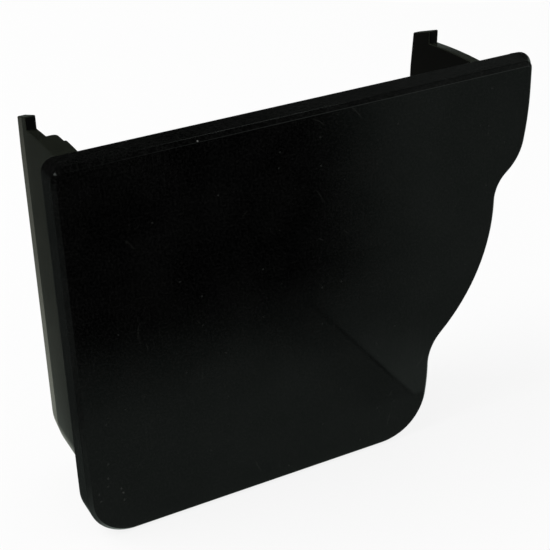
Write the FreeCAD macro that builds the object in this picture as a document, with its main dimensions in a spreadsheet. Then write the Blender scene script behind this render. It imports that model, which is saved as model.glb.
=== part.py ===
# Ogee gutter end cap, moulded in one piece.
# X runs along the face plate from the wall side to the front of the gutter, Y runs back into the
# gutter and Z is up. The origin is under the middle of the cap, level with the foot of the plate.
import FreeCAD, Part
import math
import os

import Sketcher

NODE = "cap"

# Driving sizes in millimetres, turns in degrees.
SIZES = {
    # Face plate, a shallow pan with its open side to the back
    "plate_width": 117.7,
    "plate_height": 94.4,
    "rim_depth": 7.0,
    "rim_thickness": 1.2,
    "face_thickness": 2.2,
    "edge_chamfer": 0.95,
    "edge_softening": 0.25,
    "heel_radius": 10.6,
    "back_top_radius": 3.0,
    "front_top_radius": 2.0,
    # Ogee front, from the top of the plate down to its toe
    "flank_flat": 5.0,
    "flank_radius": 76.0,
    "flank_turn": 9.8,
    "shoulder_radius": 11.8,
    "shoulder_turn": 52.0,
    "cove_radius": 8.6,
    "belly_turn": 46.6,
    "low_cove_radius": 11.5,
    "toe_lead_radius": 57.0,
    "toe_lead_turn": 8.5,
    "toe_radius": 12.8,
    # Swelling of the rim behind its front top corner, round the gutter's rolled edge
    "nose_reach": 4.4,
    "nose_radius": 4.5,
    "nose_height": 12.0,
    "nose_slope": 4.4,
    # Spigot, the wall that slides into the gutter
    "cap_depth": 32.6,
    "gutter_wall": 1.3,
    "fit_clearance": 0.1,
    "spigot_wall": 2.4,
    "spigot_heel_radius": 14.0,
    "back_lean": 0.5,
    "front_lean": 1.1,
    "lead_length": 5.3,
    "lead_drop": 0.5,
    # Barbed clips at the far end of both wall tops
    "barb_length": 8.1,
    "barb_rise": 3.2,
    "barb_end_rise": 0.65,
    "barb_rounding": 0.5,
    "wall_drop": 0.95,
    "end_setback": 0.7,
    "end_setback_height": 9.0,
    # Stepped pad inside the back wall, next to the plate
    "pad_thickness": 2.75,
    "pad_step": 0.5,
    "pad_reach": 18.6,
    "pad_step_reach": 13.8,
    "pad_corner": 1.2,
    "pad_foot": 16.0,
}

# Places that follow from the driving sizes. Each ogee joint is where one arc hands over to the next.
PLACES = {
    "cap_width": "plate_width + nose_reach",
    "spigot_inset": "rim_thickness + gutter_wall + 2 * fit_clearance",
    "flank_top_z": "plate_height - front_top_radius - flank_flat",
    "flank_x": "plate_width - flank_radius * (1 - cos(flank_turn))",
    "flank_z": "flank_top_z - flank_radius * sin(flank_turn)",
    "shoulder_x": "flank_x - shoulder_radius * (cos(flank_turn) - cos(shoulder_turn))",
    "shoulder_z": "flank_z - shoulder_radius * (sin(shoulder_turn) - sin(flank_turn))",
    "ledge_x": "shoulder_x - cove_radius * (1 - cos(shoulder_turn))",
    "ledge_z": "shoulder_z - cove_radius * sin(shoulder_turn)",
    "toe_lead_z": "toe_radius * (1 - sin(toe_lead_turn))",
    "low_ledge_z": "toe_lead_z + toe_lead_radius * sin(toe_lead_turn)",
    "belly_z": "low_ledge_z + low_cove_radius * sin(belly_turn)",
    "belly_radius": "(ledge_z - belly_z) / sin(belly_turn)",
    "belly_x": "ledge_x - belly_radius * (1 - cos(belly_turn))",
    "low_ledge_x": "belly_x - low_cove_radius * (1 - cos(belly_turn))",
    "toe_lead_x": "low_ledge_x - toe_lead_radius * (1 - cos(toe_lead_turn))",
    "toe_x": "toe_lead_x - toe_radius * cos(toe_lead_turn)",
    "wall_top_z": "plate_height - wall_drop",
    "spigot_top": "wall_top_z + barb_rise",
    "barb_y": "cap_depth - barb_length",
    "wall_run": "barb_y - rim_depth",
}

LEFT, RIGHT = 1, -1
ON_PLANE = 1e-4


def fill_sheet(doc):
    """Put the driving sizes and the places that follow from them into the sheet."""
    sheet = doc.addObject("Spreadsheet::Sheet", "Sizes")
    row = 0
    for alias, text in list(SIZES.items()) + [(key, "=" + rule) for key, rule in PLACES.items()]:
        row += 1
        sheet.set(f"A{row}", alias)
        sheet.set(f"B{row}", str(text))
        sheet.setAlias(f"B{row}", alias)
        doc.recompute()
    return sheet


def in_sheet(rule):
    """Write a rule on aliases as an expression that other objects can read."""
    words = sorted(list(SIZES) + list(PLACES), key=len, reverse=True)
    out = ""
    while rule:
        word = next((w for w in words if rule.startswith(w)), None)
        fresh = not out or not (out[-1].isalnum() or out[-1] in "_.")
        if word and fresh:
            out += "Sizes." + word
            rule = rule[len(word):]
        else:
            out += rule[0]
            rule = rule[1:]
    return out


def number(body, rule):
    """Value of a rule for the sizes now in the sheet."""
    return float(body.evalExpression(in_sheet(rule)))


def new_sketch(body, name, role, offset):
    """Sketch on one of the body's own planes, moved by the rules in offset (x, y, z of the sketch)."""
    sketch = body.newObject("Sketcher::SketchObject", name)
    plane = next(f for f in body.Origin.OriginFeatures if f.Role == role)
    sketch.AttachmentSupport = [(plane, "")]
    sketch.MapMode = "FlatFace"
    for axis, rule in zip("xyz", offset):
        sketch.setExpression(f"AttachmentOffset.Base.{axis}", in_sheet(rule))
    return sketch


def draw_loop(body, sketch, corners, arcs):
    """Close a loop through the corners. arcs gives the radius and the side of the centre, by segment."""
    spots = [FreeCAD.Vector(number(body, x), number(body, y), 0) for x, y in corners]
    starts = []
    ends = []
    for i, start in enumerate(spots):
        end = spots[(i + 1) % len(spots)]
        if i not in arcs:
            sketch.addGeometry(Part.LineSegment(start, end), False)
            starts.append(1)
            ends.append(2)
            continue
        rule, side = arcs[i]
        radius = number(body, rule)
        chord = end - start
        rise = math.sqrt(radius ** 2 - (chord.Length / 2) ** 2)
        across = FreeCAD.Vector(-chord.y, chord.x, 0).normalize()
        centre = (start + end) * 0.5 + across * rise * side
        first, last = (start, end) if side == LEFT else (end, start)
        angles = [math.atan2(p.y - centre.y, p.x - centre.x) for p in (first, last)]
        circle = Part.Circle(centre, FreeCAD.Vector(0, 0, 1), radius)
        sketch.addGeometry(Part.ArcOfCircle(circle, angles[0], angles[1]), False)
        starts.append(1 if side == LEFT else 2)
        ends.append(2 if side == LEFT else 1)
    for i in range(len(spots)):
        after = (i + 1) % len(spots)
        sketch.addConstraint(Sketcher.Constraint("Coincident", i, ends[i], after, starts[after]))
    for i, corner in enumerate(corners):
        for kind, rule, axis in (("DistanceX", corner[0], -2), ("DistanceY", corner[1], -1)):
            if rule == "0":
                sketch.addConstraint(Sketcher.Constraint("PointOnObject", i, starts[i], axis))
                continue
            size = number(body, rule)
            index = sketch.addConstraint(Sketcher.Constraint(kind, -1, 1, i, starts[i], size))
            sketch.setExpression(f"Constraints[{index}]", in_sheet(rule))
    for i, (rule, _) in arcs.items():
        index = sketch.addConstraint(Sketcher.Constraint("Radius", i, number(body, rule)))
        sketch.setExpression(f"Constraints[{index}]", in_sheet(rule))


def ogee_corners(inset):
    """Joints of the lower ogee, toe to ledge, on a line that runs inset inside the plate's outline."""
    return [
        ("toe_x", inset),
        (f"toe_lead_x - ({inset}) * cos(toe_lead_turn)", f"toe_lead_z + ({inset}) * sin(toe_lead_turn)"),
        (f"low_ledge_x - ({inset})", "low_ledge_z"),
        (f"belly_x - ({inset}) * cos(belly_turn)", f"belly_z + ({inset}) * sin(belly_turn)"),
        (f"ledge_x - ({inset})", "ledge_z"),
    ]


def ogee_radii(inset):
    """Radius and centre side of the lower ogee's arcs, toe to ledge."""
    return [
        (f"toe_radius - ({inset})", LEFT),
        (f"toe_lead_radius - ({inset})", LEFT),
        (f"low_cove_radius + ({inset})", RIGHT),
        (f"belly_radius - ({inset})", LEFT),
    ]


def plate_loop(inset):
    """Corners and arcs of the plate's outline, or of a line inset inside it."""
    corners = [("heel_radius", inset)] + ogee_corners(inset) + [
        (f"shoulder_x - ({inset}) * cos(shoulder_turn)", f"shoulder_z + ({inset}) * sin(shoulder_turn)"),
        (f"flank_x - ({inset}) * cos(flank_turn)", f"flank_z + ({inset}) * sin(flank_turn)"),
        (f"plate_width - ({inset})", "flank_top_z"),
        (f"plate_width - ({inset})", "plate_height - front_top_radius"),
        ("plate_width - front_top_radius", f"plate_height - ({inset})"),
        ("back_top_radius", f"plate_height - ({inset})"),
        (inset, "plate_height - back_top_radius"),
        (inset, "heel_radius"),
    ]
    rounds = ogee_radii(inset) + [
        (f"cove_radius + ({inset})", RIGHT),
        (f"shoulder_radius - ({inset})", LEFT),
        (f"flank_radius - ({inset})", LEFT),
    ]
    arcs = {1 + i: arc for i, arc in enumerate(rounds)}
    arcs[9] = (f"front_top_radius - ({inset})", LEFT)
    arcs[11] = (f"back_top_radius - ({inset})", LEFT)
    arcs[13] = (f"heel_radius - ({inset})", LEFT)
    return corners, arcs


def nose_loop(reach, drop, radius):
    """Section of the swelling at the front top corner, reach past the plate and drop below its top."""
    edge = f"plate_width + ({reach})"
    corners = [
        ("plate_width - rim_thickness", "plate_height - nose_height"),
        (edge, "plate_height - nose_height + nose_slope"),
        (edge, f"plate_height - ({drop}) - {radius}"),
        (f"{edge} - {radius}", f"plate_height - ({drop})"),
        ("plate_width - nose_radius", f"plate_height - ({drop})"),
    ]
    return corners, {2: (radius, LEFT)}


def spigot_loop():
    """Corners and arcs of the spigot's section: down the back, along the floor, up the ogee, and back."""
    outer, inner = "spigot_inset", "spigot_inset + spigot_wall"
    heel = "spigot_inset + spigot_heel_radius"
    out_side = [(f"{outer} + back_lean", "spigot_top"), (outer, heel), (heel, outer)] + ogee_corners(outer)
    out_side.append((f"ledge_x - ({outer}) + front_lean", "spigot_top"))
    in_side = [(f"ledge_x - ({inner}) + front_lean", "spigot_top")] + ogee_corners(inner)[::-1]
    in_side += [(heel, inner), (inner, heel), (f"{inner} + back_lean", "spigot_top")]
    arcs = {1: ("spigot_heel_radius", LEFT)}
    arcs.update({3 + i: arc for i, arc in enumerate(ogee_radii(outer))})
    back = [(rule, -side) for rule, side in ogee_radii(inner)[::-1]]
    arcs.update({10 + i: arc for i, arc in enumerate(back)})
    arcs[15] = ("spigot_heel_radius - spigot_wall", RIGHT)
    return out_side + in_side, arcs


def top_cut_loop():
    """Side view of what is cut from above the wall tops: top that bows down to the barb, barb with its ramp."""
    above = "spigot_top + barb_rise"
    behind = "cap_depth + barb_length"
    corners = [
        ("face_thickness", "plate_height"),
        ("rim_depth", "plate_height"),
        ("barb_y", "wall_top_z"),
        ("barb_y", "spigot_top"),
        ("cap_depth - end_setback", "wall_top_z + barb_end_rise"),
        ("cap_depth", "plate_height - end_setback_height"),
        (behind, "plate_height - end_setback_height"),
        (behind, above),
        ("face_thickness", above),
    ]
    arcs = {1: ("(wall_run * wall_run + wall_drop * wall_drop) / (2 * wall_drop)", RIGHT)}
    return corners, arcs


def pad_loop():
    """Plan of the stepped pad: thick next to the plate, thinner further back, rounded at both steps."""
    wall = "spigot_inset + spigot_wall"
    root = "spigot_inset + spigot_wall / 2"
    thick = f"{wall} + pad_thickness + pad_step"
    thin = f"{wall} + pad_thickness"
    corners = [
        (root, "face_thickness"),
        (thick, "face_thickness"),
        (thick, "pad_step_reach - pad_step"),
        (thin, "pad_step_reach"),
        (thin, "pad_reach - pad_corner"),
        (f"{thin} - pad_corner", "pad_reach"),
        (root, "pad_reach"),
    ]
    arcs = {2: ("pad_step", LEFT), 4: ("pad_corner", LEFT)}
    return corners, arcs


def extrude(body, kind, name, sketch, length):
    """Pad or pocket of a sketch by a rule, along +Y or +Z."""
    feature = body.newObject(kind, name)
    feature.Profile = sketch
    feature.setExpression("Length", in_sheet(length))
    return feature


def edge_names(shape, wanted):
    """Names of the edges that the test wanted accepts."""
    return [f"Edge{i}" for i, edge in enumerate(shape.Edges, 1) if wanted(edge)]


def lies_at(edge, axis, place):
    """True where the whole edge lies in the plane at this place on the axis."""
    box = edge.BoundBox
    return all(abs(getattr(box, axis + end) - place) < ON_PLANE for end in ("Min", "Max"))


def faces_away(shape, edge, plane_y, middle):
    """True where the wall that meets the edge looks away from the middle of the cap."""
    spot = edge.valueAt((edge.FirstParameter + edge.LastParameter) / 2)
    for face in shape.ancestorsOfType(edge, Part.Face):
        if abs(face.BoundBox.YMin - plane_y) < ON_PLANE:
            continue
        u, v = face.Surface.parameter(spot)
        return face.normalAt(u, v).dot(middle - spot) < 0
    return False


def build_cap(doc):
    """Model the moulding: plate, pan, spigot, pad, wall tops with barbs."""
    body = doc.addObject("PartDesign::Body", "Cap")
    body.Label = NODE
    half = ("-cap_width / 2", "0", "cap_depth / 2")
    inside = ("-cap_width / 2", "0", "cap_depth / 2 - face_thickness")
    front_y = -number(body, "cap_depth") / 2
    far_y = -front_y

    outline = new_sketch(body, "PlateOutline", "XZ_Plane", half)
    draw_loop(body, outline, *plate_loop("0"))
    plate = extrude(body, "PartDesign::Pad", "Plate", outline, "rim_depth")
    plate.Reversed = True
    doc.recompute()

    chamfer = body.newObject("PartDesign::Chamfer", "FrontChamfer")
    chamfer.Base = (plate, edge_names(plate.Shape, lambda e: lies_at(e, "Y", front_y)))
    chamfer.setExpression("Size", in_sheet("edge_chamfer"))
    doc.recompute()

    bend_y = front_y + number(body, "edge_chamfer")
    soften = body.newObject("PartDesign::Fillet", "FrontSoftening")
    soften.Base = (chamfer, edge_names(
        chamfer.Shape, lambda e: lies_at(e, "Y", front_y) or lies_at(e, "Y", bend_y)))
    soften.setExpression("Radius", in_sheet("edge_softening"))
    doc.recompute()

    bend = "edge_chamfer + edge_softening"
    slim = new_sketch(body, "NoseStart", "XZ_Plane", ("-cap_width / 2", "0", f"cap_depth / 2 - {bend}"))
    draw_loop(body, slim, *nose_loop("-rim_thickness / 2", "rim_thickness / 2", "front_top_radius"))
    full = new_sketch(body, "NoseEnd", "XZ_Plane", ("-cap_width / 2", "0", "cap_depth / 2 - rim_depth"))
    draw_loop(body, full, *nose_loop("nose_reach", "0", "nose_radius"))
    nose = body.newObject("PartDesign::AdditiveLoft", "Nose")
    nose.Profile = slim
    nose.Sections = [full]
    nose.Ruled = True
    doc.recompute()

    hollow = new_sketch(body, "PanOutline", "XZ_Plane", inside)
    draw_loop(body, hollow, *plate_loop("rim_thickness"))
    pan = extrude(body, "PartDesign::Pocket", "Pan", hollow, "rim_depth - face_thickness")
    doc.recompute()
    if pan.Shape.Volume >= nose.Shape.Volume:
        raise RuntimeError("the pan was not hollowed")

    section = new_sketch(body, "SpigotSection", "XZ_Plane", inside)
    draw_loop(body, section, *spigot_loop())
    spigot = extrude(body, "PartDesign::Pad", "Spigot", section, "cap_depth - face_thickness")
    spigot.Reversed = True
    doc.recompute()

    middle = spigot.Shape.BoundBox.Center
    lead = body.newObject("PartDesign::Chamfer", "LeadIn")
    lead.Base = (spigot, edge_names(
        spigot.Shape,
        lambda e: lies_at(e, "Y", far_y) and e.BoundBox.ZMin < number(body, "plate_height")
        and faces_away(spigot.Shape, e, far_y, middle)))
    lead.ChamferType = "Two distances"
    lead.setExpression("Size", in_sheet("lead_length"))
    lead.setExpression("Size2", in_sheet("lead_drop"))
    doc.recompute()

    plan = new_sketch(body, "PadPlan", "XY_Plane", ("-cap_width / 2", "-cap_depth / 2", "pad_foot"))
    draw_loop(body, plan, *pad_loop())
    extrude(body, "PartDesign::Pad", "BackPad", plan, "spigot_top - pad_foot")
    doc.recompute()

    side = new_sketch(body, "WallTops", "YZ_Plane", ("-cap_depth / 2", "0", "0"))
    draw_loop(body, side, *top_cut_loop())
    tops = extrude(body, "PartDesign::Pocket", "TopCut", side, "2 * plate_width")
    tops.Midplane = True
    doc.recompute()

    barb_y = front_y + number(body, "barb_y")
    foot_z = number(body, "wall_top_z")
    barbs = body.newObject("PartDesign::Fillet", "BarbRounding")
    barbs.Base = (tops, edge_names(
        tops.Shape, lambda e: lies_at(e, "Y", barb_y) and e.BoundBox.ZMax > foot_z + ON_PLANE))
    barbs.setExpression("Radius", in_sheet("barb_rounding"))
    doc.recompute()
    return body


def check(doc, body):
    """Stop if any object failed or the moulding is not one sound solid."""
    for thing in doc.Objects:
        if "Invalid" in thing.State or "Error" in thing.State:
            raise RuntimeError(f"{thing.Name} failed: {thing.State}")
    shape = body.Shape
    if shape.isNull() or not shape.isValid() or len(shape.Solids) != 1:
        raise RuntimeError("the cap is not one sound solid")


def main():
    doc = FreeCAD.newDocument("GutterEndCap")
    fill_sheet(doc)
    body = build_cap(doc)
    check(doc, body)
    os.makedirs("parts", exist_ok=True)
    body.Shape.exportStep(f"parts/{NODE}.step")


main()
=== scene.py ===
"""Gutter end cap: the moulded cap, its black plastic and a plain studio."""

import math

import bmesh
import bpy
from bpy.props import FloatProperty, FloatVectorProperty, IntProperty, PointerProperty
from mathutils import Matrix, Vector
from mathutils.bvhtree import BVHTree


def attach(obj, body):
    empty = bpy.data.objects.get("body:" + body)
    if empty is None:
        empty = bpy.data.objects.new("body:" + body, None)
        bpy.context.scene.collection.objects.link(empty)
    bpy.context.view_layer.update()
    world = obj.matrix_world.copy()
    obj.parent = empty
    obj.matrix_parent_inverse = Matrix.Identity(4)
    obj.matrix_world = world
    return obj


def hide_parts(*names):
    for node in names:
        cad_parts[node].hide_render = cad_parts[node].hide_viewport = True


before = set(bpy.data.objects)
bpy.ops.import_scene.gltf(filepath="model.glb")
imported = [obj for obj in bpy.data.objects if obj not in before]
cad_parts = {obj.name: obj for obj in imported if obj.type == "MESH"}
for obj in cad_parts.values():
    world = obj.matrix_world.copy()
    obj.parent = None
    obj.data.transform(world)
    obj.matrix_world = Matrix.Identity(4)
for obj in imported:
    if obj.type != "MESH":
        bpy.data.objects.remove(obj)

bpy.context.view_layer.update()

bl_info = {
    "name": "Gutter End Cap",
    "version": (1, 0, 0),
    "blender": (4, 5, 0),
    "location": "View3D > Sidebar > Gutter Cap",
    "description": "Builds a moulded gutter end cap and the studio it is shown in",
    "category": "Object",
}

MILLIMETRE = 0.001


# ---------------------------------------------------------------- settings


class CapMouldingSettings(bpy.types.PropertyGroup):
    """Shape details that the moulding adds to the plain solid."""

    edge_round: FloatProperty(
        name="Edge round",
        description="Width of the small round on the sharp edges",
        default=0.22 * MILLIMETRE, min=0.0, unit="LENGTH", precision=5,
    )
    edge_angle: FloatProperty(
        name="Edge angle",
        description="Edges that turn more than this are rounded",
        default=math.radians(38.0), subtype="ANGLE",
    )
    edge_steps: IntProperty(
        name="Edge steps",
        description="Faces across each rounded edge",
        default=3, min=1, max=6,
    )


class CapPlasticSettings(bpy.types.PropertyGroup):
    """Colours and finish of the moulded plastic."""

    deep_colour: FloatVectorProperty(
        name="Deep colour",
        description="Darkest tone of the plastic",
        default=(0.0005, 0.0005, 0.0005), subtype="COLOR", min=0.0, max=1.0,
    )
    lifted_colour: FloatVectorProperty(
        name="Lifted colour",
        description="Palest tone of the plastic's mottling",
        default=(0.0053, 0.0054, 0.0052), subtype="COLOR", min=0.0, max=1.0,
    )
    rubbed_colour: FloatVectorProperty(
        name="Rubbed colour",
        description="Tone of the rubbed edges",
        default=(0.012, 0.014, 0.010), subtype="COLOR", min=0.0, max=1.0,
    )
    scuffed_colour: FloatVectorProperty(
        name="Scuffed colour",
        description="Tone of the duller faces that rub on the gutter",
        default=(0.0128, 0.0147, 0.0106), subtype="COLOR", min=0.0, max=1.0,
    )
    dust_colour: FloatVectorProperty(
        name="Dust colour",
        description="Tone of the dust specks and fine scratches",
        default=(0.050, 0.053, 0.046), subtype="COLOR", min=0.0, max=1.0,
    )
    # The nick's pale colour is a painted glint on the plate's top edge.
    nick_glint_colour: FloatVectorProperty(
        name="Nick colour",
        description="Tone of the bright nick on the plate's top edge",
        default=(0.20, 0.20, 0.19), subtype="COLOR", min=0.0, max=1.0,
    )
    gloss_roughness: FloatProperty(
        name="Gloss roughness",
        description="Roughness of the polished faces",
        default=0.06, min=0.0, max=1.0, subtype="FACTOR",
    )
    core_roughness: FloatProperty(
        name="Core roughness",
        description="Roughness of the duller core side",
        default=0.75, min=0.0, max=1.0, subtype="FACTOR",
    )
    scuffed_roughness: FloatProperty(
        name="Scuffed roughness",
        description="Roughness of the faces that rub on the gutter",
        default=0.20, min=0.0, max=1.0, subtype="FACTOR",
    )
    rubbed_roughness: FloatProperty(
        name="Rubbed roughness",
        description="Roughness of the rubbed edges",
        default=0.32, min=0.0, max=1.0, subtype="FACTOR",
    )


class CapStudioSettings(bpy.types.PropertyGroup):
    """Floor, lamp, cards and camera."""

    floor_colour: FloatVectorProperty(
        name="Floor colour",
        description="Colour of the pale floor",
        default=(0.92, 0.92, 0.92), subtype="COLOR", min=0.0, max=1.0,
    )
    # The mat's glow is painted light and shade that the cap's gloss mirrors.
    mat_colour: FloatVectorProperty(
        name="Mat colour",
        description="Tone of the grey mat that the cap mirrors",
        default=(0.128, 0.152, 0.138), subtype="COLOR", min=0.0, max=1.0,
    )
    glare_colour: FloatVectorProperty(
        name="Glare colour",
        description="Tone of the glare on the mat behind the cap",
        default=(0.128, 0.133, 0.113), subtype="COLOR", min=0.0, max=1.0,
    )
    room_colour: FloatVectorProperty(
        name="Room colour",
        description="Tone of the dim room that the cap mirrors",
        default=(0.075, 0.084, 0.078), subtype="COLOR", min=0.0, max=1.0,
    )
    lamp_power: FloatProperty(
        name="Lamp power",
        description="Power of the large soft lamp",
        default=17.0, min=0.0, unit="POWER",
    )
    camera_place: FloatVectorProperty(
        name="Camera place",
        description="Where the camera stands",
        default=(-0.1339, -0.2595, 0.20915), subtype="TRANSLATION", unit="LENGTH", precision=5,
    )
    camera_turn: FloatVectorProperty(
        name="Camera turn",
        description="How the camera is turned",
        default=tuple(math.radians(angle) for angle in (60.8022, 1.6242, -27.4924)),
        subtype="EULER", precision=5,
    )
    camera_lens: FloatProperty(
        name="Camera lens",
        description="Focal length in millimetres on a 36 mm wide sensor",
        default=90.866, min=1.0,
    )


# ---------------------------------------------------------------- shader writing


class Tone:
    """One socket of a node tree. Sums on tones add Math nodes."""

    def __init__(self, tree, socket=None):
        self.tree = tree
        self.socket = socket

    def node(self, kind, settings=None, sockets=None, out=0):
        """Adds a node: its settings first, then its sockets' values or links. Gives one output."""
        made = self.tree.nodes.new(kind)
        for name, value in (settings or {}).items():
            setattr(made, name, value)
        for name, value in (sockets or {}).items():
            if isinstance(value, Tone):
                self.tree.links.new(value.socket, made.inputs[name])
            else:
                made.inputs[name].default_value = value
        return Tone(self.tree, made.outputs[out] if made.outputs else None)

    def also(self, out):
        """Another output of this tone's own node."""
        return Tone(self.tree, self.socket.node.outputs[out])

    def math(self, operation, first, second=0.0):
        """A Math node of two values."""
        return self.node("ShaderNodeMath", {"operation": operation}, {0: first, 1: second})

    def __add__(self, other):
        return self.math("ADD", self, other)

    __radd__ = __add__

    def __sub__(self, other):
        return self.math("SUBTRACT", self, other)

    def __rsub__(self, other):
        return self.math("SUBTRACT", other, self)

    def __mul__(self, other):
        return self.math("MULTIPLY", self, other)

    __rmul__ = __mul__

    def __truediv__(self, other):
        return self.math("DIVIDE", self, other)

    def __rtruediv__(self, other):
        return self.math("DIVIDE", other, self)

    def __abs__(self):
        return self.math("ABSOLUTE", self)

    def most(self, other):
        """The larger of two values."""
        return self.math("MAXIMUM", self, other)

    def fade(self, start, end):
        """0 at start, 1 at end, eased between them."""
        return self.node(
            "ShaderNodeMapRange", {"interpolation_type": "SMOOTHSTEP"},
            {"Value": self, "From Min": start, "From Max": end},
        )

    def between(self, rise, fall):
        """1 inside a band that comes in over one pair of values and goes out over another."""
        return self.fade(*rise) * (1.0 - self.fade(*fall))

    def blend(self, first, second):
        """A colour between two, with this value as the share of the second."""
        return self.node(
            "ShaderNodeMix", {"data_type": "RGBA"},
            {"Factor": self, 6: first, 7: second}, out=2,
        )

    def part(self, axis):
        """One of X, Y and Z of this vector."""
        return self.node("ShaderNodeSeparateXYZ", None, {"Vector": self}, out=axis)

    def channel(self, name):
        """One of Red, Green and Blue of this colour."""
        return self.node("ShaderNodeSeparateColor", None, {"Color": self}, out=name)

    def vector(self, operation, other, out=0):
        """A Vector Math node of this vector and another."""
        return self.node(
            "ShaderNodeVectorMath", {"operation": operation}, {0: self, 1: other}, out=out,
        )


def new_material(name):
    """An empty material and the tone that writes into it."""
    material = bpy.data.materials.new(name)
    material.use_nodes = True
    material.node_tree.nodes.clear()
    return material, Tone(material.node_tree)


def object_place(pen):
    """Place on the object, in metres."""
    return pen.node("ShaderNodeTexCoord", out="Object")


def rgba(colour):
    """A colour with full cover."""
    return (*colour, 1.0)


# ---------------------------------------------------------------- plastic

# Noise patterns: cells per metre, detail and roughness.
MOTTLE = (70.0, 3.0, 0.6)
GRAIN = (1900.0, 1.0, 0.6)
RUBBING = (180.0, 3.0, 0.6)
SWELL = (45.0, 0.0, 0.4)
PEEL = (700.0, 2.0, 0.5)

# Noise levels over which a pattern comes in.
MOTTLE_RANGE = (0.35, 0.68)
GRAIN_RANGE = (0.36, 0.78)
RUBBING_RANGE = (0.36, 0.66)

# Specks are a share of a cell wide. Marks have sizes in millimetres. Both lie in a share of cells.
DUST_SPECKS = {"per_metre": 330.0, "share": 0.6, "radius": 0.055}
DUST_MARKS = {"per_metre": 200.0, "share": 0.26, "half_length": 0.32, "half_width": 0.24}
HEEL_MARKS = {"per_metre": 400.0, "share": 0.8, "half_length": 0.40, "half_width": 0.28}
LONG_HAIRS = {
    "per_metre": 110.0, "share": 0.10, "half_length": 2.6, "half_width": 0.18, "bend": 0.05,
}
SHORT_HAIRS = {
    "per_metre": 160.0, "share": 0.09, "half_length": 1.1, "half_width": 0.16, "bend": 0.12,
}
SPECK_CORE = 0.5
MARK_CORE = 0.4
MARK_END_CORE = 0.3

# Dust gathers at the plate's heel, and its top edge has one nick with a painted glint. Reaches are
# in millimetres.
HEEL_DUST = (-55.0 * MILLIMETRE, 15.0 * MILLIMETRE, 0.0)
HEEL_DUST_REACH = (3.0, 9.0)
HEEL_DUST_GAIN = 1.6
EDGE_NICK_GLINT = (-29.0 * MILLIMETRE, -16.1 * MILLIMETRE, 93.7 * MILLIMETRE)
NICK_GLINT_REACH = (0.04, 0.26)

# Shares that each pattern has in the colour.
MOTTLE_LIFT, GRAIN_LIFT, CORE_DEEPENING = 0.25, 0.75, 0.75
MOTTLE_SCUFF, GRAIN_SCUFF, EVEN_SCUFF = 0.24, 0.30, 0.58
RUBBED_SHARE, CORE_RUB_LOSS = 0.8, 0.7
DUST_SHARE, HEEL_DUST_SHARE, HAIR_SHARE = 0.24, 0.45, 0.18

# What each pattern adds to the roughness and to the relief.
MOTTLE_DULLING, GRAIN_DULLING, HAIR_DULLING, DUST_ROUGHNESS = 0.015, 0.02, 0.08, 0.6
SWELL_HEIGHT, PEEL_HEIGHT, GRAIN_HEIGHT, SCUFF_HEIGHT = 0.5, 0.010, 0.004, 0.03
HAIR_DEPTH, DUST_HEIGHT = 0.006, 0.01
RELIEF_STRENGTH = 0.3
RELIEF_DEPTH = 0.05 * MILLIMETRE
PLASTIC_IOR = 1.5


def noise(place, per_metre, detail, roughness):
    """Soft noise over the object."""
    return place.node(
        "ShaderNodeTexNoise", {"noise_dimensions": "3D"},
        {"Vector": place, "Scale": per_metre, "Detail": detail, "Roughness": roughness},
    )


def painted(pen, name):
    """A value that the moulding's faces carry."""
    return pen.node("ShaderNodeAttribute", {"attribute_name": name}, out="Fac")


def gap_from(place, spot):
    """Distance from a spot, in millimetres."""
    return place.vector("DISTANCE", spot, out="Value") / MILLIMETRE


def specks(place, per_metre, share, radius):
    """1 inside round specks, kept in only a share of the cells."""
    gap = place.node(
        "ShaderNodeTexVoronoi", {"feature": "F1"},
        {"Vector": place, "Scale": per_metre, "Randomness": 1.0}, out="Distance",
    )
    chosen = gap.also("Color").channel("Red").fade(1.0 - share, 1.0)
    return (1.0 - gap.fade(radius * SPECK_CORE, radius)) * chosen


def marks(plane, per_metre, share, half_length, half_width, bend=0.0):
    """Short marks on the plate, one in a share of the cells, each turned its own way."""
    middle = plane.node(
        "ShaderNodeTexVoronoi", {"voronoi_dimensions": "2D", "feature": "F1"},
        {"Vector": plane, "Scale": per_metre, "Randomness": 1.0}, out="Position",
    )
    pick = middle.also("Color")
    turned = plane.node(
        "ShaderNodeVectorRotate", {"rotation_type": "Z_AXIS"},
        {"Vector": plane.vector("SUBTRACT", middle), "Angle": pick.channel("Green") * math.tau},
    )
    along = turned.part("X") / MILLIMETRE
    across = turned.part("Y") / MILLIMETRE + along * along * bend
    line = 1.0 - abs(across).fade(half_width * MARK_CORE, half_width)
    reach = 1.0 - abs(along).fade(half_length * MARK_END_CORE, half_length)
    return line * reach * pick.channel("Red").fade(1.0 - share, 1.0)


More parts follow.
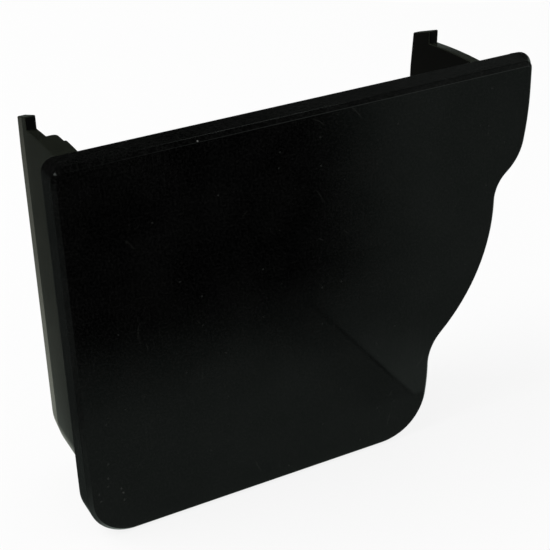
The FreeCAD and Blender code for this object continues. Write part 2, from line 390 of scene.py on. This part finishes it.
def make_plastic(settings):
    """Glossy black moulded plastic: mottling, fine grain, dust, hairline marks, rubbed edges and a
    painted glint at a nick.
    """
    material, pen = new_material("cap_black_plastic")
    place = object_place(pen)
    plane = pen.node("ShaderNodeCombineXYZ", None, {"X": place.part("X"), "Y": place.part("Z")})
    plate = painted(pen, "plate_face")
    core = painted(pen, "core_face")
    scuffed = painted(pen, "scuffed_face")

    mottle = noise(place, *MOTTLE).fade(*MOTTLE_RANGE)
    grain = noise(place, *GRAIN).fade(*GRAIN_RANGE)
    rubbing = noise(place, *RUBBING).fade(*RUBBING_RANGE)
    rubbed = painted(pen, "rubbed_edge") * rubbing * (1.0 - core * CORE_RUB_LOSS)
    # Painted glint: a pale spot at the nick on the plate's top edge.
    nick_glint = 1.0 - gap_from(place, EDGE_NICK_GLINT).fade(*NICK_GLINT_REACH)
    at_heel = (1.0 - gap_from(plane, HEEL_DUST).fade(*HEEL_DUST_REACH)) * HEEL_DUST_GAIN
    heel_dust = marks(plane, **HEEL_MARKS) * plate * at_heel
    dust = specks(place, **DUST_SPECKS).most(marks(plane, **DUST_MARKS) * plate).most(heel_dust)
    hairs = marks(plane, **LONG_HAIRS).most(marks(plane, **SHORT_HAIRS)) * plate

    lift = (mottle * MOTTLE_LIFT + grain * GRAIN_LIFT) * (1.0 - core * CORE_DEEPENING)
    ground = lift.blend(rgba(settings.deep_colour), rgba(settings.lifted_colour))
    scuff = scuffed * (mottle * MOTTLE_SCUFF + grain * GRAIN_SCUFF + EVEN_SCUFF)
    dulled = scuff.blend(ground, rgba(settings.scuffed_colour))
    edged = (rubbed * RUBBED_SHARE).blend(dulled, rgba(settings.rubbed_colour))
    marked = (dust * DUST_SHARE).most(heel_dust * HEEL_DUST_SHARE).most(hairs * HAIR_SHARE)
    dusted = marked.blend(edged, rgba(settings.dust_colour))
    # The painted glint turns the nick's spot pale.
    colour = nick_glint.blend(dusted, rgba(settings.nick_glint_colour))

    polish = settings.gloss_roughness + mottle * MOTTLE_DULLING + grain * GRAIN_DULLING
    core_step = core * (settings.core_roughness - settings.gloss_roughness)
    scuffed_step = scuffed * (settings.scuffed_roughness - settings.core_roughness)
    rubbed_step = rubbed * (settings.rubbed_roughness - settings.gloss_roughness) * (1.0 - core)
    worn = polish + hairs * HAIR_DULLING + core_step + scuffed_step + rubbed_step
    roughness = worn.most(dust * DUST_ROUGHNESS)

    waves = noise(place, *SWELL) * SWELL_HEIGHT + noise(place, *PEEL) * PEEL_HEIGHT
    grit = grain * GRAIN_HEIGHT + scuffed * grain * SCUFF_HEIGHT
    height = waves + grit - hairs * HAIR_DEPTH + dust * DUST_HEIGHT
    relief = pen.node("ShaderNodeBump", None, {
        "Strength": RELIEF_STRENGTH, "Distance": RELIEF_DEPTH, "Height": height,
    })

    shader = pen.node("ShaderNodeBsdfPrincipled", None, {
        "Base Color": colour, "Roughness": roughness, "IOR": PLASTIC_IOR, "Normal": relief,
    })
    pen.node("ShaderNodeOutputMaterial", None, {"Surface": shader})
    return material


# ---------------------------------------------------------------- moulding

# Places on the solid, and how far a face's normal leans before it counts as facing that way.
RIM_BACK = -9.25 * MILLIMETRE
WALL_TOP = 80.0 * MILLIMETRE
LEAD_START = 11.0 * MILLIMETRE
CLEAR_START = 0.05 * MILLIMETRE
FACES_FRONT = -0.9
FACES_BACK = 0.5
FACES_UP = 0.5
FACES_ENDWAYS = 0.6

MERGE_DISTANCE = 0.001 * MILLIMETRE
FLAT_ANGLE = math.radians(0.05)
NORMAL_WEIGHT = 80


def round_sharp_edges(bm, settings):
    """Rounds the outer edges a little and marks their faces as rubbed."""
    rubbed = bm.faces.layers.float.new("rubbed_edge")
    sharp = [
        edge for edge in bm.edges
        if edge.is_manifold and edge.is_convex and edge.calc_face_angle() > settings.edge_angle
    ]
    made = bmesh.ops.bevel(
        bm, geom=sharp, offset=settings.edge_round, offset_type="OFFSET",
        segments=settings.edge_steps, profile=0.5, affect="EDGES", clamp_overlap=False,
        material=-1,
    )
    for face in made["faces"]:
        face[rubbed] = 1.0


def mark_finishes(bm):
    """Marks the plate's flat face, the dull core side and the outer faces the gutter scuffs."""
    plate = bm.faces.layers.float.new("plate_face")
    core = bm.faces.layers.float.new("core_face")
    scuffed = bm.faces.layers.float.new("scuffed_face")
    tree = BVHTree.FromBMesh(bm)
    for face in bm.faces:
        normal = face.normal
        middle = face.calc_center_median()
        open_side = tree.ray_cast(middle + normal * CLEAR_START, normal)[0] is None
        if middle.y < RIM_BACK and normal.y < FACES_BACK and open_side:
            face[plate] = float(normal.y < FACES_FRONT)
            continue
        face[core] = 1.0
        endways = abs(normal.y) >= FACES_ENDWAYS
        trough_floor = normal.z > FACES_UP and middle.z < WALL_TOP
        if middle.y > RIM_BACK and open_side and not endways and not trough_floor:
            face[scuffed] = 1.0


def shade_smooth(bm, settings):
    """Shades all faces smoothly, with inner corners and the start of the lead-in kept crisp."""
    for face in bm.faces:
        face.smooth = True
    for edge in bm.edges:
        at_lead = all(abs(vert.co.y - LEAD_START) < CLEAR_START for vert in edge.verts)
        edge.smooth = not at_lead and edge.calc_face_angle(0.0) < settings.edge_angle


class OBJECT_OT_cap_moulding(bpy.types.Operator):
    """Build the moulded cap in black plastic, with its sharp edges rounded"""

    bl_idname = "object.cap_moulding"
    bl_label = "Cap moulding"

    def execute(self, context):
        """Makes the piece that stands for the plain solid."""
        bm = bmesh.new()
        bm.from_mesh(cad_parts["cap"].data)
        bmesh.ops.remove_doubles(bm, verts=bm.verts, dist=MERGE_DISTANCE)
        bmesh.ops.dissolve_limit(
            bm, angle_limit=FLAT_ANGLE, use_dissolve_boundaries=False,
            verts=bm.verts, edges=bm.edges, delimit={"NORMAL"},
        )
        round_sharp_edges(bm, context.scene.cap_moulding)
        bm.normal_update()
        mark_finishes(bm)
        shade_smooth(bm, context.scene.cap_moulding)
        mesh = bpy.data.meshes.new("cap_moulding")
        bm.to_mesh(mesh)
        bm.free()
        if not mesh.polygons:
            raise RuntimeError("the cap moulding has no faces")
        mesh.materials.append(make_plastic(context.scene.cap_plastic))
        piece = bpy.data.objects.new("cap_moulding", mesh)
        context.collection.objects.link(piece)
        normals = piece.modifiers.new("even_shading", "WEIGHTED_NORMAL")
        normals.keep_sharp = True
        normals.weight = NORMAL_WEIGHT
        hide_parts("cap")
        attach(piece, "root")
        return {"FINISHED"}


# ---------------------------------------------------------------- mirrored cards

# The mat glows with painted light and shade that the cap mirrors; its tones change over these
# places, in millimetres: along runs back, across runs right.
NEAR_LIGHT = (-112.0, -46.0)
RIGHT_LIGHT = (-16.0, 32.0)
RIGHT_LIGHT_ACROSS, RIGHT_LIGHT_ALONG = 0.88, 0.475
FAR_LEFT, FAR_LEFT_LOSS = (62.0, 120.0), 0.55

# Painted shade: a dark line across the mat's glow, with painted shade beside it on its left.
DARK_LINE_PLACE = 35.2
DARK_LINE_WIDTH = (0.2, 0.7)
DARK_LINE_START, DARK_LINE_END = (-92.0, -84.0), (-34.0, -30.0)
DARK_LINE_DEPTH = 0.7
DARK_LINE_THINNING, DARK_LINE_THINNING_LOSS = (-52.0, -36.0), 0.6
LINE_SHADE_START, LINE_SHADE_END = (5.0, 34.0), (34.6, 35.4)
LINE_SHADE_DEPTH = 0.18

# Painted light: a pale patch in the mat's glow beside the dark line.
PATCH_LEFT, PATCH_RIGHT = (35.2, 36.6), (44.0, 70.0)
PATCH_RISE, PATCH_END = (-70.0, -33.0), (-32.6, -30.8)
PATCH_GAIN = 0.62

HEEL_LIGHT_START, HEEL_LIGHT_END = (48.0, 56.0), (66.0, 82.0)
HEEL_LIGHT_EDGE, HEEL_LIGHT_SLANT = (3.0, 8.0), 0.43
HEEL_LIGHT_GAIN = 3.0
CHAMFER_LIGHT_START, CHAMFER_LIGHT_END = (68.0, 78.0), (92.0, 112.0)
CHAMFER_LIGHT_EDGE = (-36.0, -28.0)
CHAMFER_LIGHT_GAIN = 0.6

BEHIND = (-22.0, 8.0)
BESIDE, BESIDE_SHIFT = (57.0, 62.0), 9.0
BACK_LEVEL = 0.15
RIGHT_SIDE, RIGHT_SIDE_GAIN = (20.0, 60.0), 0.7
RIGHT_FAR, RIGHT_FAR_LOSS = (350.0, 650.0), 0.8
GLARE_EDGE, GLARE_PLACE, GLARE_SLANT = (-8.0, 6.0), 55.5, 0.19
GLARE_NEAR, GLARE_NEAR_LOSS = (20.0, 150.0), 0.75
GLARE_FAR = (150.0, 360.0)
GLARE_PEAK = 1.25
GLARE_GAIN = 2.8
FOOT_START, FOOT_END = (56.0, 60.0), (70.0, 86.0)
FOOT_DEPTH = (12.0, 36.0)
FOOT_GAIN = 0.13

# The room's lights: direction, inner and outer angle in degrees, and strength.
ROOM_LIGHTS = {
    "overhead": ((0.36, 0.32, 0.88), 3.0, 8.0, 26.0),
    "front_high": ((0.52, -0.46, 0.72), 3.0, 13.0, 0.8),
    "front_low": ((0.66, -0.66, 0.36), 10.0, 34.0, 5.5),
    "side_high": ((0.90, -0.12, 0.43), 6.0, 14.0, 1.6),
    "back_low": ((0.53, 0.83, 0.17), 3.0, 8.0, 8.0),
    "corner_lamp": ((-0.72, -0.34, 0.62), 4.0, 10.0, 15.0),
}
ROOM_LEVEL = 0.11
ROOM_RIGHT, ROOM_RIGHT_GAIN = (0.28, 0.62), 0.42
ROOM_RIGHT_END, ROOM_RIGHT_END_LOSS = (0.55, 0.8), 0.7

# Kept low, so that the renderer does not count the cards among its lamps.
CARD_POWER = 0.1


def add_glow(pen, colour, strength):
    """Ends a card's material with a colour that glows with a strength."""
    light = pen.node(
        "ShaderNodeVectorMath", {"operation": "SCALE"},
        {0: colour, "Scale": strength * (1.0 / CARD_POWER)},
    )
    glow = pen.node("ShaderNodeEmission", None, {"Color": light, "Strength": CARD_POWER})
    pen.node("ShaderNodeOutputMaterial", None, {"Surface": glow})


def mat_front(across, along, leftward):
    """The mat's glow before the cap: a dark wedge of painted shadow, a painted dark line with a
    painted pale patch, and painted light by the heel.
    """
    slant = across * RIGHT_LIGHT_ACROSS + along * RIGHT_LIGHT_ALONG
    # Outside the lit part the mat stays dark, a painted shadow.
    lit = 1.0 - (1.0 - along.fade(*NEAR_LIGHT)) * (1.0 - slant.fade(*RIGHT_LIGHT))
    dark_line_reach = along.between(DARK_LINE_START, DARK_LINE_END)
    dark_line = 1.0 - abs(across - DARK_LINE_PLACE).fade(*DARK_LINE_WIDTH)
    dark_line_depth = (1.0 - along.fade(*DARK_LINE_THINNING) * DARK_LINE_THINNING_LOSS) * DARK_LINE_DEPTH
    line_shade = across.between(LINE_SHADE_START, LINE_SHADE_END) * LINE_SHADE_DEPTH
    line_shaded = (1.0 - dark_line * dark_line_reach * dark_line_depth) * (1.0 - line_shade * dark_line_reach)
    patch = across.between(PATCH_LEFT, PATCH_RIGHT) * along.between(PATCH_RISE, PATCH_END)
    heel_edge = (along - across * HEEL_LIGHT_SLANT).fade(*HEEL_LIGHT_EDGE)
    heel_light = leftward.between(HEEL_LIGHT_START, HEEL_LIGHT_END) * heel_edge
    chamfer_edge = along.fade(*CHAMFER_LIGHT_EDGE)
    chamfer_light = leftward.between(CHAMFER_LIGHT_START, CHAMFER_LIGHT_END) * chamfer_edge
    ground = lit * (1.0 + chamfer_light * CHAMFER_LIGHT_GAIN) * line_shaded
    front = ground + patch * PATCH_GAIN + heel_light * HEEL_LIGHT_GAIN
    return front * (1.0 - leftward.fade(*FAR_LEFT) * FAR_LEFT_LOSS)


def make_mat_tone(settings):
    """Grey mat round the cap, glowing with painted light and shade, with glare behind it on the
    left.
    """
    material, pen = new_material("mat_tone")
    place = object_place(pen)
    across = place.part("X") / MILLIMETRE
    along = place.part("Y") / MILLIMETRE
    leftward = 0.0 - across

    behind = (along + leftward.fade(*BESIDE) * BESIDE_SHIFT).fade(*BEHIND)
    right_side = across.fade(*RIGHT_SIDE) * (1.0 - across.fade(*RIGHT_FAR) * RIGHT_FAR_LOSS)
    glare_edge = (across + along * GLARE_SLANT + GLARE_PLACE).fade(*GLARE_EDGE) * (1.0 - right_side)
    glare_height = GLARE_PEAK - along.fade(*GLARE_NEAR) * GLARE_NEAR_LOSS
    glare = glare_edge * glare_height * (1.0 - along.fade(*GLARE_FAR))
    foot = leftward.between(FOOT_START, FOOT_END) * (1.0 - along.fade(*FOOT_DEPTH))
    shine = foot * FOOT_GAIN + glare * GLARE_GAIN
    back = BACK_LEVEL + shine + right_side * RIGHT_SIDE_GAIN
    strength = mat_front(across, along, leftward) * (1.0 - behind) + back * behind
    colour = (glare_edge * behind).blend(rgba(settings.mat_colour), rgba(settings.glare_colour))
    add_glow(pen, colour, strength)
    return material


def make_room_tone(settings):
    """Dim room over the mat, paler to the right, with a few pools of light."""
    material, pen = new_material("room_tone")
    place = object_place(pen)
    across = place.part("X")
    right = across.fade(*ROOM_RIGHT) * (1.0 - across.fade(*ROOM_RIGHT_END) * ROOM_RIGHT_END_LOSS)
    strength = right * ROOM_RIGHT_GAIN + ROOM_LEVEL
    for direction, inner, outer, power in ROOM_LIGHTS.values():
        lean = place.vector("DOT_PRODUCT", Vector(direction).normalized(), out="Value")
        edges = [math.cos(math.radians(angle)) for angle in (outer, inner)]
        strength = strength + lean.fade(*edges) * power
    add_glow(pen, tuple(settings.room_colour), strength)
    return material


# ---------------------------------------------------------------- studio

FLOOR_HALF_WIDTH = 3.0
FLOOR_HEIGHT = -0.10 * MILLIMETRE
FLOOR_WHITENESS = 0.86
MAT_HALF_WIDTH = 1.2
MAT_HEIGHT = -0.05 * MILLIMETRE
ROOM_RADIUS = 1.0
ROOM_SEGMENTS, ROOM_RINGS = 48, 24
SKY_LEVEL = 0.55
WHITE = (1.0, 1.0, 1.0, 1.0)
LAMP_WIDTH = 1.2
LAMP_PLACE = (-0.95, 0.25, 1.35)
LAMP_TARGET = (0.0, 0.0, 0.04)
SENSOR_WIDTH = 36.0
CLIP_START, CLIP_END = 0.01, 20.0


def background_rays(pen):
    """1 for the rays that see the background: straight, mirrored or through glass."""
    straight = pen.node("ShaderNodeLightPath", out="Is Camera Ray")
    return straight.most(straight.also("Is Glossy Ray")).most(straight.also("Is Transmission Ray"))


def make_floor_paint(settings):
    """Pale floor that looks white and keeps a soft shadow."""
    material, pen = new_material("floor_paint")
    paint = pen.node("ShaderNodeBsdfDiffuse", None, {"Color": rgba(settings.floor_colour)})
    white = pen.node("ShaderNodeEmission", None, {"Color": WHITE, "Strength": 1.0})
    mixed = pen.node("ShaderNodeMixShader", None, {
        "Fac": background_rays(pen) * FLOOR_WHITENESS, 1: paint, 2: white,
    })
    pen.node("ShaderNodeOutputMaterial", None, {"Surface": mixed})
    return material


def make_world(context):
    """Even soft light all round; white where it is seen."""
    world = bpy.data.worlds.new("soft_tent")
    world.use_nodes = True
    world.node_tree.nodes.clear()
    pen = Tone(world.node_tree)
    strength = background_rays(pen) * (1.0 - SKY_LEVEL) + SKY_LEVEL
    sky = pen.node("ShaderNodeBackground", None, {"Color": WHITE, "Strength": strength})
    pen.node("ShaderNodeOutputWorld", None, {"Surface": sky})
    context.scene.world = world


def place_on_stage(context, name, bm, material):
    """Makes a stage object of a bmesh."""
    mesh = bpy.data.meshes.new(name)
    bm.to_mesh(mesh)
    bm.free()
    mesh.materials.append(material)
    thing = bpy.data.objects.new(name, mesh)
    context.collection.objects.link(thing)
    return thing


def flat_sheet(half_width, height):
    """A flat square sheet, level at a height."""
    bm = bmesh.new()
    bmesh.ops.create_grid(bm, x_segments=1, y_segments=1, size=half_width)
    bmesh.ops.translate(bm, verts=bm.verts, vec=(0.0, 0.0, height))
    return bm


def round_room():
    """A round room about the cap."""
    bm = bmesh.new()
    bmesh.ops.create_uvsphere(
        bm, u_segments=ROOM_SEGMENTS, v_segments=ROOM_RINGS, radius=ROOM_RADIUS,
    )
    return bm


def show_in_gloss_only(card):
    """Lets a card show in reflections alone."""
    card.visible_camera = False
    card.visible_diffuse = False
    card.visible_transmission = False
    card.visible_volume_scatter = False
    card.visible_shadow = False


def add_lamp(context, power):
    """A large square soft lamp, high behind the cap on the left."""
    data = bpy.data.lights.new("key_lamp", "AREA")
    data.energy = power
    data.shape = "SQUARE"
    data.size = LAMP_WIDTH
    lamp = bpy.data.objects.new("key_lamp", data)
    lamp.location = LAMP_PLACE
    aim = Vector(LAMP_TARGET) - Vector(LAMP_PLACE)
    lamp.rotation_euler = aim.to_track_quat("-Z", "Y").to_euler()
    lamp.visible_glossy = False
    lamp.visible_camera = False
    context.collection.objects.link(lamp)


def add_camera(context, settings):
    """The camera, at the cap's front and to its left."""
    data = bpy.data.cameras.new("front_camera")
    data.lens = settings.camera_lens
    data.sensor_width = SENSOR_WIDTH
    data.clip_start = CLIP_START
    data.clip_end = CLIP_END
    camera = bpy.data.objects.new("front_camera", data)
    camera.location = settings.camera_place
    camera.rotation_euler = settings.camera_turn
    context.collection.objects.link(camera)
    context.scene.camera = camera


class SCENE_OT_cap_studio(bpy.types.Operator):
    """Build the floor, the cards that the gloss mirrors, the lamp and the camera"""

    bl_idname = "scene.cap_studio"
    bl_label = "Cap studio"

    def execute(self, context):
        """Makes the stage round the cap."""
        settings = context.scene.cap_studio
        floor = flat_sheet(FLOOR_HALF_WIDTH, FLOOR_HEIGHT)
        place_on_stage(context, "floor", floor, make_floor_paint(settings))
        mat = flat_sheet(MAT_HALF_WIDTH, MAT_HEIGHT)
        show_in_gloss_only(place_on_stage(context, "mat_card", mat, make_mat_tone(settings)))
        room = round_room()
        show_in_gloss_only(place_on_stage(context, "room_card", room, make_room_tone(settings)))
        make_world(context)
        add_lamp(context, settings.lamp_power)
        add_camera(context, settings)
        context.scene.view_settings.view_transform = "Standard"
        return {"FINISHED"}


# ---------------------------------------------------------------- panel


class VIEW3D_PT_gutter_cap(bpy.types.Panel):
    """Lists the steps and settings of the gutter end cap"""

    bl_idname = "VIEW3D_PT_gutter_cap"
    bl_label = "Gutter Cap"
    bl_space_type = "VIEW_3D"
    bl_region_type = "UI"
    bl_category = "Gutter Cap"

    def draw(self, context):
        """Draws the buttons over their settings."""
        column = self.layout.column()
        for operator, groups in STEPS:
            column.operator(operator)
            for group in groups:
                settings = getattr(context.scene, group)
                for name in settings.__annotations__:
                    column.prop(settings, name)


STEPS = (
    ("object.cap_moulding", ("cap_moulding", "cap_plastic")),
    ("scene.cap_studio", ("cap_studio",)),
)

GROUPS = {
    "cap_moulding": CapMouldingSettings,
    "cap_plastic": CapPlasticSettings,
    "cap_studio": CapStudioSettings,
}

CLASSES = (*GROUPS.values(), OBJECT_OT_cap_moulding, SCENE_OT_cap_studio, VIEW3D_PT_gutter_cap)


def register():
    """Adds the classes and their settings."""
    for cls in CLASSES:
        bpy.utils.register_class(cls)
    for name, group in GROUPS.items():
        setattr(bpy.types.Scene, name, PointerProperty(type=group))


def unregister():
    """Takes the classes and their settings away."""
    for name in GROUPS:
        delattr(bpy.types.Scene, name)
    for cls in reversed(CLASSES):
        bpy.utils.unregister_class(cls)


def main():
    """Builds the cap and its studio."""
    register()
    bpy.ops.object.cap_moulding()
    bpy.ops.scene.cap_studio()
    bpy.context.view_layer.update()


if __name__ == "__main__":
    main()
